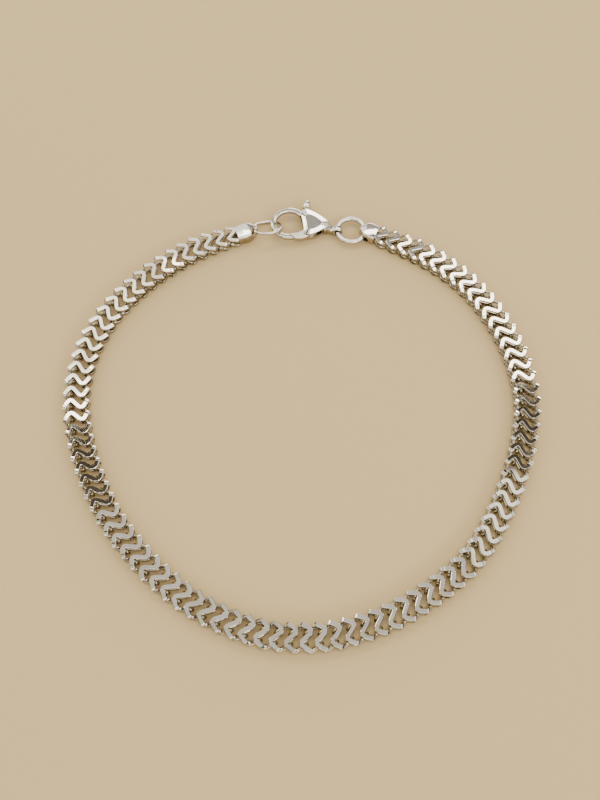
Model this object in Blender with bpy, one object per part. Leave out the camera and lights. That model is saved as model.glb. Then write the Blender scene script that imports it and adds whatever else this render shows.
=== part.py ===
"""Flat woven link bracelet with a lobster clasp, lying fastened on a surface.

Metres, +Z up, -Y toward the viewer. Two fused chain halves of interlocked
wave links, each with its soldered end cap, two jump rings, the clasp body
and its sprung lever.
"""
import math

import bmesh
import bpy
from mathutils import Matrix, Vector

MM = 0.001

# Chain wire and band
BAND_WIDTH = 3.6 * MM          # over the outer ends of the links
LINK_PITCH = 1.74 * MM         # wanted spacing, evened out over the route
WIRE_WIDTH = 0.56 * MM         # flat-cut strand, seen from above
WIRE_HEIGHT = 0.38 * MM
HOOK_WIDTH = 0.36 * MM         # thinner end loops
HOOK_HEIGHT = 0.30 * MM
LINK_CLEARANCE = 0.10 * MM     # between a hook and the strands it runs between
HEEL_RISE = 0.10 * MM          # lower strand's end above the hook's lowest run
END_DIP = 0.08 * MM            # flat strand's outer end below its middle
TIP_DROP = 0.06 * MM            # hook's upper run below the straight line to its tip
LEG_SHARE = 0.21               # how far down the leg a hook crosses it
ARM_SHARE = 0.33               # and how far back from the hook's tip
MITRE_LIMIT = 1.15             # most that a corner widens the wire
END_TAPER = 0.80               # width share of the link beside each cap
TAPER_LINKS = 3
FLAT_SHARE = 0.86              # flat-cut part of the wire's width
WAIST_SHARE = 0.10             # widest line of the wire, below its middle
SOLDER_NEAR = 0.68             # soldered patch, as shares of the hook's arm
SOLDER_FAR = 0.86
SOLDER_EDGE = 0.20             # and of its width, left free on both sides

# Route of the chain's centre line, in plan, from the left cap round to the right
ROUTE = [
    (-8.7, 25.0), (-14.0, 22.9), (-18.6, 19.9), (-22.4, 16.4), (-25.5, 12.5),
    (-27.6, 8.1), (-28.7, 3.6), (-28.8, -0.9), (-27.9, -5.6), (-26.2, -10.5),
    (-23.7, -15.5), (-20.1, -20.3), (-15.4, -24.8), (-9.9, -28.3), (-3.7, -30.5),
    (3.0, -30.7), (9.3, -29.0), (15.3, -25.8), (20.4, -21.7), (23.9, -16.8),
    (26.5, -11.6), (28.4, -6.1), (29.3, -0.6), (28.7, 5.0), (26.6, 11.1),
    (22.9, 16.9), (17.4, 21.6), (10.6, 25.0),
]
ROUTE_STEPS = 24               # straight runs read between two route points

# End caps, soldered to the last links
CAP_BASE = 0.08 * MM           # underside above the surface
CAP_TOP = 1.80 * MM
CAP_OVERLAP = 0.20 * MM        # into the band, over the last link's hook
CAP_WIDTH = 2.50 * MM
CAP_CHAMFER = 0.34 * MM
LEFT_NOSE_WIDTH = 0.92 * MM
LEFT_SEAT = 2.29 * MM          # from the end of the band to the jump ring's wire
RIGHT_NOSE_WIDTH = 1.10 * MM
RIGHT_SEAT = 1.62 * MM
HOLE_WALL = 0.18 * MM          # metal left between a hole and the nose

# Jump rings
LEFT_RING_RADIUS = 2.00 * MM   # to the middle of the wire
LEFT_RING_WIRE = 0.42 * MM
LEFT_RING_TILT = 31.0          # degrees, the near side up
LEFT_RING_TURN = 7.0           # degrees, the way it points from the cap
LEFT_RING_LIFT = 0.02 * MM     # underside above the surface
RIGHT_RING_RADIUS = 1.95 * MM
RIGHT_RING_WIRE = 0.67 * MM
RIGHT_RING_TURN = -5.0
RIGHT_RING_LIFT = 0.51 * MM
RING_PLAY = 0.18 * MM          # round a ring's wire in its hole
RING_STEPS = 18
RING_SIDES = 8

# Clasp, in plan about the middle of its hook
CLASP_X = -1.50 * MM
CLASP_Y = 26.78 * MM
HOOK_INNER = 1.81 * MM
HOOK_OUTER = 2.65 * MM
HOOK_BASE = 0.79 * MM
HOOK_TOP = 1.55 * MM
HOOK_CHAMFER = 0.20 * MM
HOOK_START = 38.0              # degrees, inside the body
HOOK_END_INNER = 269.0         # slanted end that the lever closes on
HOOK_END_OUTER = 283.0
HOOK_STEPS = 16
BODY_LENGTH = 5.50 * MM        # from the hook's middle
BODY_WIDTH = 4.30 * MM
BODY_TOP = 2.00 * MM
BODY_EDGE = 1.60 * MM          # where the wide bevel starts
BODY_FOOT = 0.22 * MM          # chamfer under the body
TABLE_SHARE = 0.50             # size of the raised flat against the outline
FOOT_SHARE = 0.90
SLOT_BASE = 0.68 * MM
SLOT_TOP = 1.46 * MM
PIN_RADIUS = 0.28 * MM
PIN_ROOT = 0.15 * MM           # into the metal above and below the slot
PIVOT_X = 3.30 * MM
PIVOT_Y = -0.60 * MM
NECK_START = 4.95 * MM         # inside the body
NECK_BASE = 0.30 * MM
NECK_TOP = 1.42 * MM
NECK_WIDTH = 0.74 * MM
EYE_X = 6.73 * MM
EYE_Y = -0.90 * MM
EYE_WALL = 0.24 * MM
EYE_WIDTH = 0.85 * MM
ROUND_SIDES = 12

# Lever
LEVER_GAP = 0.07 * MM          # to the plates above and below
PIN_GAP = 0.08 * MM
SPLIT_GAP = 0.10 * MM          # between the closing arm and the hook's end
HUB_RADIUS = 0.85 * MM
HUB_SIDES = 16
KNOB_RADIUS = 0.56 * MM
KNOB_LENGTH = 1.35 * MM
KNOB_SINK = 0.25 * MM          # over the end of the tab

# Plan outlines, as shares of BODY_LENGTH along x and BODY_WIDTH along y
BODY_MIDDLE = (0.591, -0.012)
BODY_OUTLINE = [
    (0.291, 0.349), (0.320, 0.470), (0.409, 0.530), (0.555, 0.470), (0.709, 0.353),
    (0.873, 0.186), (1.000, 0.012), (1.000, -0.105), (0.882, -0.244), (0.727, -0.377),
    (0.582, -0.447), (0.445, -0.465), (0.385, -0.428), (0.360, -0.186), (0.320, 0.140),
]
# Where the slot for the lever is cut, leaving the hook's root and the tip solid
SLOT_OUTLINE = [
    (0.109, -0.744), (0.827, -0.744), (0.827, -0.093), (0.773, 0.140), (0.790, 0.837),
    (0.371, 0.837), (0.371, 0.233), (0.109, 0.233),
]
# The closing arm, after the end that meets the hook, and the tab up to the knob
ARM_OUTLINE = [
    (0.273, -0.609), (0.436, -0.549), (0.645, -0.326), (0.564, -0.023), (0.345, -0.284),
    (0.173, -0.386),
]
TAB_OUTLINE = [
    (0.385, 0.651), (0.393, 0.256), (0.476, -0.070), (0.718, -0.116), (0.509, 0.651),
]

# Lengthwise sections of an end cap: share of its reach, of the width left beyond
# the nose, and of its height
CAP_COLUMNS = ("along", "width", "height")
CAP_SECTIONS = [(0.30, 1.00, 1.00), (0.62, 0.86, 1.00), (0.88, 0.00, 0.94), (1.00, -0.15, 0.80)]
CAP_ROOT = (0.84, 0.86)        # width and height shares inside the band

# Lengthwise sections of the knob: share of its length and of its radius
KNOB_SECTIONS = [(0.00, 0.80), (0.09, 1.00), (0.63, 1.00), (0.87, 0.82), (1.00, 0.45)]


def plan(shares, middle=(0.0, 0.0)):
    """Turn pairs of body shares into points in plan about a middle."""
    return [(x * BODY_LENGTH - middle[0], y * BODY_WIDTH - middle[1]) for x, y in shares]


def on_hook(radius, degrees):
    """Return the point in plan at a radius and an angle about the hook."""
    angle = math.radians(degrees)
    return radius * math.cos(angle), radius * math.sin(angle)


def silver(name, tint, roughness):
    """Return a polished silver material."""
    material = bpy.data.materials.new(name)
    material.use_nodes = True
    shader = material.node_tree.nodes["Principled BSDF"]
    shader.inputs["Base Color"].default_value = (*tint, 1.0)
    shader.inputs["Metallic"].default_value = 1.0
    shader.inputs["Roughness"].default_value = roughness
    return material


def make_object(name, bm, material, helper=False):
    """Close a bmesh into a named object; a helper is left out of the part."""
    bmesh.ops.recalc_face_normals(bm, faces=bm.faces)
    mesh = bpy.data.meshes.new(name)
    bm.to_mesh(mesh)
    bm.free()
    mesh.materials.append(material)
    mesh.shade_smooth()
    mesh.set_sharp_from_angle(angle=math.radians(35.0))
    obj = bpy.data.objects.new(name, mesh)
    bpy.context.collection.objects.link(obj)
    if helper:
        obj.hide_render = True
        obj.display_type = "WIRE"
    return obj


def boolean(obj, other, operation):
    """Add an exact Boolean to an object."""
    modifier = obj.modifiers.new(other.name, "BOOLEAN")
    modifier.object = other
    modifier.operation = operation
    modifier.solver = "EXACT"


def loft(bm, rings, closed=False):
    """Skin a list of equal rings of points; the ends are capped unless closed."""
    skins = [[bm.verts.new(point) for point in ring] for ring in rings]
    count = len(skins)
    faces = {}
    for i in range(count if closed else count - 1):
        here = skins[i]
        there = skins[(i + 1) % count]
        for j in range(len(here)):
            k = (j + 1) % len(here)
            faces[i, j] = bm.faces.new((here[j], here[k], there[k], there[j]))
    if not closed:
        bm.faces.new(skins[0])
        bm.faces.new(skins[-1])
    return faces


def prism(name, outline, base, top, material):
    """Make a helper solid from a plan outline."""
    bm = bmesh.new()
    loft(bm, [[(x, y, z) for x, y in outline] for z in (base, top)])
    return make_object(name, bm, material, helper=True)


def rod(name, start, end, radius, sides, material, helper=True):
    """Make a cylinder between two points."""
    start, end = Vector(start), Vector(end)
    axis = (end - start).normalized()
    side = axis.orthogonal().normalized()
    other = axis.cross(side)
    rings = []
    for point in (start, end):
        ring = []
        for i in range(sides):
            turn = 2.0 * math.pi * i / sides
            ring.append(point + radius * (math.cos(turn) * side + math.sin(turn) * other))
        rings.append(ring)
    bm = bmesh.new()
    loft(bm, rings)
    return make_object(name, bm, material, helper)


# Route

def route_line():
    """Read a smooth line through the route's points, as points and lengths."""
    points = [Vector((x * MM, y * MM, 0.0)) for x, y in ROUTE]
    before = 2.0 * points[0] - points[1]
    after = 2.0 * points[-1] - points[-2]
    ends = [before] + points + [after]
    line = [points[0]]
    for i in range(1, len(ends) - 2):
        p0, p1, p2, p3 = ends[i - 1:i + 3]
        for step in range(1, ROUTE_STEPS + 1):
            t = step / ROUTE_STEPS
            line.append(0.5 * (2.0 * p1 + (p2 - p0) * t
                               + (2.0 * p0 - 5.0 * p1 + 4.0 * p2 - p3) * t * t
                               + (3.0 * p1 - p0 - 3.0 * p2 + p3) * t ** 3))
    lengths = [0.0]
    for a, b in zip(line, line[1:]):
        lengths.append(lengths[-1] + (b - a).length)
    return line, lengths


def frame_at(line, lengths, distance):
    """Return the frame at a distance: X along the route, Y outward, Z up."""
    i = 1
    while i < len(lengths) - 1 and lengths[i] < distance:
        i += 1
    share = (distance - lengths[i - 1]) / (lengths[i] - lengths[i - 1])
    place = line[i - 1].lerp(line[i], share)
    along = (line[min(i + 2, len(line) - 1)] - line[max(i - 3, 0)]).normalized()
    outward = Vector((along.y, -along.x, 0.0))
    up = Vector((0.0, 0.0, 1.0))
    matrix = Matrix((along, outward, up)).transposed().to_4x4()
    matrix.translation = place
    return matrix


# Chain

def levels():
    """Heights of the wire's centre, stacked where a hook crosses the next link's leg."""
    step = HOOK_HEIGHT / 2.0 + WIRE_HEIGHT / 2.0 + LINK_CLEARANCE
    low = HOOK_HEIGHT / 2.0
    heel = low + HEEL_RISE
    arm = low + ARM_SHARE * (heel - low)
    under = (step + arm - LEG_SHARE * heel) / (1.0 - LEG_SHARE)
    top = arm + 3.0 * step
    end = top - END_DIP
    tip = end - (end - arm - 2.0 * step) / (1.0 - ARM_SHARE) - TIP_DROP
    return {"low": low, "heel": heel, "under": under, "tip": tip, "end": end, "top": top}


# Half of one link, from its outer bend round the outer hook to the lower bend.
# along is a share of the pitch, across a share of the reach to the wire's end.
LINK_COLUMNS = ("along", "across", "level", "wire", "facing")
LINK_HALF = [
    (-0.24, 0.34, "top", "strand", (0.0, 0.0, 1.0)),
    (-0.24, 0.58, "top", "strand", (0.0, 0.0, 1.0)),
    (0.26, 1.00, "end", "strand", (0.0, 0.0, 1.0)),
    (1.12, 0.36, "tip", "hook", (0.7, -0.3, 0.7)),
    (1.12, 0.36, "low", "hook", (0.7, -0.3, -0.7)),
    (0.26, 1.00, "heel", "strand", (0.0, 0.0, -1.0)),
    (-0.27, 0.46, "under", "strand", (0.0, 0.0, -1.0)),
]
ARM_FACE = (2, 0)     # flat face from the outer end to the hook's tip
BEND_FACE = (0, 3)    # side face across the outer bend


def link_path(pitch, reach):
    """Return one link's ring centres, facings and wires, in its own frame."""
    height = levels()
    rows = [dict(zip(LINK_COLUMNS, row)) for row in LINK_HALF]
    half = []
    for row in rows:
        centre = Vector((row["along"] * pitch, row["across"] * reach, height[row["level"]]))
        half.append((centre, Vector(row["facing"]), row["wire"]))
    other = []
    for centre, facing, wire in reversed(half):
        turned = Vector((-centre.x, -centre.y, centre.z))
        other.append((turned, Vector((-facing.x, -facing.y, facing.z)), wire))
    return half + other


def wire_section(wire):
    """Return the five corners of the wire, flat side first, as side and facing."""
    if wire == "strand":
        width, height = WIRE_WIDTH / 2.0, WIRE_HEIGHT / 2.0
    else:
        width, height = HOOK_WIDTH / 2.0, HOOK_HEIGHT / 2.0
    flat, waist = width * FLAT_SHARE, -height * WAIST_SHARE
    return [(flat, height), (-flat, height), (-width, waist), (0.0, -height), (width, waist)]


def link_rings(matrix, pitch, reach):
    """Return one link's rings of corners in the world."""
    path = link_path(pitch, reach)
    count = len(path)
    rings = []
    for i, (centre, facing, wire) in enumerate(path):
        came = (centre - path[i - 1][0]).normalized()
        goes = (path[(i + 1) % count][0] - centre).normalized()
        tangent = (came + goes).normalized()
        bend = came - goes
        mitre = min(1.0 / tangent.dot(goes), MITRE_LIMIT)
        outward = (facing - facing.dot(tangent) * tangent).normalized()
        side = tangent.cross(outward)
        ring = []
        for across, up in wire_section(wire):
            offset = across * side + up * outward
            if bend.length > 1e-6:
                turn = bend.normalized()
                offset += (mitre - 1.0) * offset.dot(turn) * turn
            ring.append(matrix @ (centre + offset))
        rings.append(ring)
    return rings


def spread(corners, along, across):
    """Return the point at two shares of a four-sided face."""
    lower = corners[0].co.lerp(corners[1].co, across)
    upper = corners[3].co.lerp(corners[2].co, across)
    return lower.lerp(upper, along)


def solder(bm, arm, bend):
    """Join a hook's arm to the next link's bend by a short four-sided joint."""
    outer = list(arm.verts)
    patch = ((SOLDER_NEAR, SOLDER_EDGE), (SOLDER_NEAR, 1.0 - SOLDER_EDGE),
             (SOLDER_FAR, 1.0 - SOLDER_EDGE), (SOLDER_FAR, SOLDER_EDGE))
    inner = [bm.verts.new(spread(outer, along, across)) for along, across in patch]
    bm.faces.remove(arm)
    for i in range(4):
        j = (i + 1) % 4
        bm.faces.new((outer[i], outer[j], inner[j], inner[i]))
    target = list(reversed(bend.verts))
    bm.faces.remove(bend)
    best = min(range(4), key=lambda turn: sum(
        (inner[i].co - target[(i + turn) % 4].co).length for i in range(4)))
    for i in range(4):
        j = (i + 1) % 4
        bm.faces.new((inner[i], inner[j], target[(j + best) % 4], target[(i + best) % 4]))


def chain_half(name, frames, reaches, pitch, material):
    """Make one run of interlocked links, each soldered to the next."""
    bm = bmesh.new()
    skins = [loft(bm, link_rings(frame, pitch, reach), closed=True)
             for frame, reach in zip(frames, reaches)]
    for here, after in zip(skins, skins[1:]):
        solder(bm, here[ARM_FACE], after[BEND_FACE])
    return make_object(name, bm, material)


# End caps and jump rings

def cap(name, matrix, sense, seat, nose, wire, axis, height, material):
    """Make an end cap's helper, drilled along the jump ring's wire at its seat."""
    hole = wire + 2.0 * RING_PLAY
    reach = seat + hole / 2.0 + HOLE_WALL
    middle = (CAP_BASE + CAP_TOP) / 2.0
    tall = (CAP_TOP - CAP_BASE) / 2.0
    sections = [(-CAP_OVERLAP, *CAP_ROOT)]
    for row in CAP_SECTIONS:
        share = dict(zip(CAP_COLUMNS, row))
        sections.append((share["along"] * reach, share["width"], share["height"]))
    rings = []
    for far, share, high in sections:
        width = (nose + (CAP_WIDTH - nose) * share) / 2.0
        tip = tall * high
        cut = CAP_CHAMFER * high
        outline = [(width, cut - tip), (width, tip - cut), (width - cut, tip),
                   (cut - width, tip), (-width, tip - cut), (-width, cut - tip),
                   (cut - width, -tip), (width - cut, -tip)]
        rings.append([matrix @ Vector((sense * far, v, middle + z)) for v, z in outline])
    bm = bmesh.new()
    loft(bm, rings)
    body = make_object(name, bm, material, helper=True)
    centre = matrix @ Vector((sense * seat, 0.0, height))
    drill = rod(name + "_drill", centre - CAP_WIDTH * axis, centre + CAP_WIDTH * axis,
                hole / 2.0, ROUND_SIDES, material)
    boolean(body, drill, "DIFFERENCE")
    return body, centre


def ring_turn(tilt, turn):
    """Return a jump ring's turn: its near side up, then turned in plan."""
    lean = Matrix.Rotation(math.radians(-tilt), 3, "X")
    return Matrix.Rotation(math.radians(turn), 3, "Z") @ lean


def ring(name, centre, radius, wire, turn, material):
    """Make a jump ring about its middle."""
    rings = []
    for i in range(RING_STEPS):
        angle = 2.0 * math.pi * i / RING_STEPS
        out = Vector((math.cos(angle), math.sin(angle), 0.0))
        points = []
        for j in range(RING_SIDES):
            around = 2.0 * math.pi * (j + 0.5) / RING_SIDES
            far = radius + wire / 2.0 * math.cos(around)
            rise = Vector((0.0, 0.0, wire / 2.0 * math.sin(around)))
            points.append(turn @ (far * out + rise))
        rings.append(points)
    bm = bmesh.new()
    loft(bm, rings, closed=True)
    obj = make_object(name, bm, material)
    obj.location = centre
    return obj


# Clasp

def clasp_body(material):
    """Make the clasp's body with its hook, pin and eye."""
    outline = plan(BODY_OUTLINE)
    middle_x, middle_y = plan([BODY_MIDDLE])[0]
    rings = []
    for z, share in ((0.0, FOOT_SHARE), (BODY_FOOT, 1.0), (BODY_EDGE, 1.0),
                     (BODY_TOP, TABLE_SHARE)):
        rings.append([(middle_x + share * (x - middle_x), middle_y + share * (y - middle_y), z)
                      for x, y in outline])
    bm = bmesh.new()
    loft(bm, rings)
    body = make_object("clasp_body", bm, material)
    slot = prism("clasp_slot", plan(SLOT_OUTLINE), SLOT_BASE, SLOT_TOP, material)
    boolean(body, slot, "DIFFERENCE")
    pin = rod("clasp_pin", (PIVOT_X, PIVOT_Y, SLOT_BASE - PIN_ROOT),
              (PIVOT_X, PIVOT_Y, SLOT_TOP + PIN_ROOT), PIN_RADIUS, ROUND_SIDES, material)
    boolean(body, pin, "UNION")
    boolean(body, clasp_hook(material), "UNION")
    hole = RIGHT_RING_WIRE / 2.0 + RING_PLAY
    radius = hole + EYE_WALL
    neck_end = EYE_X - hole - EYE_WALL / 2.0
    neck = prism("clasp_neck", [(NECK_START, EYE_Y - NECK_WIDTH / 2.0),
                                (neck_end, EYE_Y - NECK_WIDTH / 2.0),
                                (neck_end, EYE_Y + NECK_WIDTH / 2.0),
                                (NECK_START, EYE_Y + NECK_WIDTH)],
                 NECK_BASE, NECK_TOP, material)
    boolean(body, neck, "UNION")
    half = Vector((0.0, EYE_WIDTH / 2.0, 0.0))
    centre = Vector((EYE_X, EYE_Y, RIGHT_RING_LIFT + RIGHT_RING_WIRE / 2.0))
    eye = rod("clasp_eye", centre - half, centre + half, radius, ROUND_SIDES + 4, material)
    boolean(body, eye, "UNION")
    drill = rod("clasp_eye_drill", centre - 2.0 * half, centre + 2.0 * half, hole,
                ROUND_SIDES, material)
    boolean(body, drill, "DIFFERENCE")
    helpers = [modifier.object for modifier in body.modifiers]
    return body, helpers


def clasp_hook(material):
    """Make the fixed hook, an arc whose last ring is slanted."""
    low, high, cut = HOOK_BASE, HOOK_TOP, HOOK_CHAMFER
    section = [(HOOK_OUTER, low + cut), (HOOK_OUTER, high - cut), (HOOK_OUTER - cut, high),
               (HOOK_INNER + cut, high), (HOOK_INNER, high - cut), (HOOK_INNER, low + cut),
               (HOOK_INNER + cut, low), (HOOK_OUTER - cut, low)]
    width = HOOK_OUTER - HOOK_INNER
    rings = []
    for i in range(HOOK_STEPS + 1):
        share = i / HOOK_STEPS
        points = []
        for far, z in section:
            slant = (far - HOOK_INNER) / width
            end = HOOK_END_INNER + slant * (HOOK_END_OUTER - HOOK_END_INNER)
            points.append((*on_hook(far, HOOK_START + share * (end - HOOK_START)), z))
        rings.append(points)
    bm = bmesh.new()
    loft(bm, rings)
    return make_object("clasp_hook", bm, material, helper=True)


def clasp_lever(material):
    """Make the lever, modelled about its pin: closing arm, hub, tab and knob."""
    base, top = SLOT_BASE + LEVER_GAP, SLOT_TOP - LEVER_GAP
    pivot = (PIVOT_X, PIVOT_Y)
    lever = rod("clasp_lever", (0.0, 0.0, base), (0.0, 0.0, top), HUB_RADIUS, HUB_SIDES,
                material, helper=False)
    meeting = []
    for radius, end in ((HOOK_INNER, HOOK_END_INNER), (HOOK_OUTER, HOOK_END_OUTER)):
        x, y = on_hook(radius, end + math.degrees(SPLIT_GAP / radius))
        meeting.append((x - PIVOT_X, y - PIVOT_Y))
    arm = prism("lever_arm", meeting + plan(ARM_OUTLINE, pivot), base, top, material)
    tab = prism("lever_tab", plan(TAB_OUTLINE, pivot), base, top, material)
    knob = lever_knob(pivot, (base + top) / 2.0, material)
    bore = rod("lever_bore", (0.0, 0.0, base - MM), (0.0, 0.0, top + MM),
               PIN_RADIUS + PIN_GAP, ROUND_SIDES, material)
    for extra in (arm, tab, knob):
        boolean(lever, extra, "UNION")
    boolean(lever, bore, "DIFFERENCE")
    return lever, [arm, tab, knob, bore]


def lever_knob(pivot, height, material):
    """Make the lever's round-ended knob."""
    corners = plan((TAB_OUTLINE[0], TAB_OUTLINE[-1]), pivot)
    middle = (corners[0][0] + corners[1][0]) / 2.0
    start = corners[0][1] - KNOB_SINK
    rings = []
    for along, share in KNOB_SECTIONS:
        points = []
        for i in range(ROUND_SIDES):
            angle = 2.0 * math.pi * i / ROUND_SIDES
            points.append((middle + share * KNOB_RADIUS * math.cos(angle),
                           start + along * KNOB_LENGTH,
                           height + share * KNOB_RADIUS * math.sin(angle)))
        rings.append(points)
    bm = bmesh.new()
    loft(bm, rings)
    return make_object("lever_knob", bm, material, helper=True)


def centre_on_origin(objects, movers):
    """Move everything so that the part's box stands centred on the origin."""
    bpy.context.view_layer.update()
    graph = bpy.context.evaluated_depsgraph_get()
    low = Vector((math.inf,) * 3)
    high = -low
    for obj in objects:
        shown = obj.evaluated_get(graph)
        mesh = shown.to_mesh()
        for vertex in mesh.vertices:
            point = obj.matrix_world @ vertex.co
            low = Vector(map(min, low, point))
            high = Vector(map(max, high, point))
        shown.to_mesh_clear()
    shift = Vector((-(low.x + high.x) / 2.0, -(low.y + high.y) / 2.0, -low.z))
    for obj in movers:
        obj.location += shift


def build():
    """Build the whole bracelet."""
    for obj in list(bpy.data.objects):
        bpy.data.objects.remove(obj)
    chain_silver = silver("chain_silver", (0.92, 0.90, 0.85), 0.18)
    ring_silver = silver("ring_silver", (0.93, 0.91, 0.87), 0.14)
    clasp_silver = silver("clasp_silver", (0.94, 0.93, 0.90), 0.10)
    lever_silver = silver("lever_silver", (0.92, 0.90, 0.86), 0.16)

    line, lengths = route_line()
    total = lengths[-1]
    count = round(total / LINK_PITCH)
    pitch = total / count
    reach = (BAND_WIDTH - WIRE_WIDTH) / 2.0
    frames = [frame_at(line, lengths, (i + 0.5) * pitch) for i in range(count)]
    reaches = []
    for i in range(count):
        from_end = min(i, count - 1 - i)
        share = END_TAPER + (1.0 - END_TAPER) * min(from_end / TAPER_LINKS, 1.0)
        reaches.append(reach * share)
    middle = count // 2
    left = chain_half("chain_left", frames[:middle], reaches[:middle], pitch, chain_silver)
    right = chain_half("chain_right", frames[middle:], reaches[middle:], pitch, chain_silver)

    left_turn = ring_turn(LEFT_RING_TILT, LEFT_RING_TURN)
    left_height = (LEFT_RING_LIFT + LEFT_RING_WIRE / 2.0
                   + LEFT_RING_RADIUS * math.sin(math.radians(LEFT_RING_TILT)))
    left_cap, left_seat = cap("left_cap", frame_at(line, lengths, 0.0), -1.0, LEFT_SEAT,
                              LEFT_NOSE_WIDTH, LEFT_RING_WIRE, left_turn.col[1], left_height,
                              chain_silver)
    right_turn = ring_turn(0.0, RIGHT_RING_TURN)
    right_height = RIGHT_RING_LIFT + RIGHT_RING_WIRE / 2.0
    right_cap, right_seat = cap("right_cap", frame_at(line, lengths, total), 1.0, RIGHT_SEAT,
                                RIGHT_NOSE_WIDTH, RIGHT_RING_WIRE, right_turn.col[1],
                                right_height, chain_silver)
    boolean(left, left_cap, "UNION")
    boolean(right, right_cap, "UNION")
    left_ring = ring("jump_ring_left", left_seat + LEFT_RING_RADIUS * left_turn.col[0],
                     LEFT_RING_RADIUS, LEFT_RING_WIRE, left_turn, ring_silver)
    right_ring = ring("jump_ring_right", right_seat - RIGHT_RING_RADIUS * right_turn.col[0],
                      RIGHT_RING_RADIUS, RIGHT_RING_WIRE, right_turn, ring_silver)

    body, body_helpers = clasp_body(clasp_silver)
    lever, lever_helpers = clasp_lever(lever_silver)
    for obj in [body] + body_helpers:
        obj.location += Vector((CLASP_X, CLASP_Y, 0.0))
    for obj in [lever] + lever_helpers:
        obj.location += Vector((CLASP_X + PIVOT_X, CLASP_Y + PIVOT_Y, 0.0))
    pieces = [left, right, left_ring, right_ring, body, lever]
    centre_on_origin(pieces, bpy.data.objects)


build()
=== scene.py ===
import math

import bmesh
import bpy
from mathutils import Euler, Matrix, Vector


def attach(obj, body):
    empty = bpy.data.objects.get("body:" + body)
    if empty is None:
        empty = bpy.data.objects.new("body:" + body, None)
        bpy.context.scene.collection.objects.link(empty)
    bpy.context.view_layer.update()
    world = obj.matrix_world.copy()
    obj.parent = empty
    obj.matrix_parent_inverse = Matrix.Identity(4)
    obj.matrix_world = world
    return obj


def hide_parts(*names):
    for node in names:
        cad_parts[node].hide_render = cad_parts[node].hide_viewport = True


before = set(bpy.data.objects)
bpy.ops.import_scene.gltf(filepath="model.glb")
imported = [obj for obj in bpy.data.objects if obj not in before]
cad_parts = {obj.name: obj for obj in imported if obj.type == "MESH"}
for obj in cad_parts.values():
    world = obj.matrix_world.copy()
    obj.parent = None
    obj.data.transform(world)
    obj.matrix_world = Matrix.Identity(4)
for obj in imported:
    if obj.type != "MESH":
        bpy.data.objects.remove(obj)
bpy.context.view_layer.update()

MM = 0.001

# Painted shade: the mask for where the metal is tinted dark and rougher, and its dark tint, which
# also tints the random cloudy tone; the finishes: bright tint and roughness
PAINTED_SHADE = "painted_shade"
CLOUD_AND_SHADE_TINT = (0.31, 0.27, 0.19)
FINISHES = {
    "chain_silver": ((0.97, 0.94, 0.88), 0.03),
    "cap_silver": ((0.97, 0.94, 0.88), 0.08),
    "ring_silver": ((0.97, 0.95, 0.92), 0.05),
    "clasp_silver": ((0.97, 0.95, 0.91), 0.05),
    "lever_silver": ((0.96, 0.93, 0.86), 0.12),
}

# Where the loop's drawn middle lies in the model, and the route of the chain about it
LOOP_MIDDLE = Vector((-0.2217, 1.0008, 0.0)) * MM
ROUTE = [
    (-8.7, 25.0), (-14.0, 22.9), (-18.6, 19.9), (-22.4, 16.4), (-25.5, 12.5),
    (-27.6, 8.1), (-28.7, 3.6), (-28.8, -0.9), (-27.9, -5.6), (-26.2, -10.5),
    (-23.7, -15.5), (-20.1, -20.3), (-15.4, -24.8), (-9.9, -28.3), (-3.7, -30.5),
    (3.0, -30.7), (9.3, -29.0), (15.3, -25.8), (20.4, -21.7), (23.9, -16.8),
    (26.5, -11.6), (28.4, -6.1), (29.3, -0.6), (28.7, 5.0), (26.6, 11.1),
    (22.9, 16.9), (17.4, 21.6), (10.6, 25.0),
]
ROUTE_STEPS = 24
LINKS = 92
END_TAPER = 0.80
TAPER_LINKS = 3
SWAY = 4.0                      # degrees that the whole band rolls from side to side
JITTER = 0.6                    # degrees that one link leans by itself

# Half of one link: centre of the wire in mm (along, outward, up), how far the flat-cut
# strand has thinned to round hook wire, and the way the cut face looks
LINK_HALF = [
    (-0.20, 0.18, 1.503, 0.0, (0.0, 0.0, 1.0)),
    (-0.43, 0.40, 1.503, 0.0, (0.0, 0.0, 1.0)),
    (-0.55, 0.66, 1.503, 0.0, (0.0, 0.0, 1.0)),
    (-0.46, 0.92, 1.503, 0.0, (0.0, 0.0, 1.0)),
    (-0.15, 1.17, 1.503, 0.0, (0.0, 0.0, 1.0)),
    (0.18, 1.38, 1.503, 0.0, (0.0, 0.0, 1.0)),
    (0.42, 1.51, 1.503, 0.0, (0.0, 0.0, 1.0)),
    (0.455, 1.53, 1.440, 0.2, (1.0, 0.7, 0.5)),
    (0.53, 1.50, 1.320, 1.0, (0.9, 0.4, 0.5)),
    (0.72, 1.38, 1.240, 1.0, (0.6, 0.1, 0.8)),
    (1.05, 1.13, 1.150, 1.0, (0.6, -0.1, 0.8)),
    (1.55, 0.79, 0.985, 1.0, (0.7, -0.3, 0.7)),
    (1.86, 0.59, 0.800, 1.0, (0.9, -0.3, 0.3)),
    (1.955, 0.53, 0.480, 1.0, (0.9, -0.4, 0.0)),
    (1.84, 0.60, 0.225, 1.0, (0.8, -0.3, -0.4)),
    (1.50, 0.84, 0.192, 1.0, (0.3, -0.1, -0.9)),
    (1.00, 1.15, 0.220, 0.8, (0.0, 0.0, -1.0)),
    (0.60, 1.38, 0.262, 0.4, (0.0, 0.0, -1.0)),
    (0.25, 1.40, 0.305, 0.1, (0.0, 0.0, -1.0)),
    (-0.14, 1.14, 0.450, 0.0, (0.0, 0.0, -1.0)),
    (-0.45, 0.88, 0.630, 0.0, (0.0, 0.0, -1.0)),
    (-0.55, 0.62, 0.710, 0.0, (0.0, 0.0, -1.0)),
    (-0.38, 0.35, 0.722, 0.0, (0.0, 0.0, -1.0)),
    (-0.14, 0.12, 0.722, 0.0, (0.0, 0.0, -1.0)),
]
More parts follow.
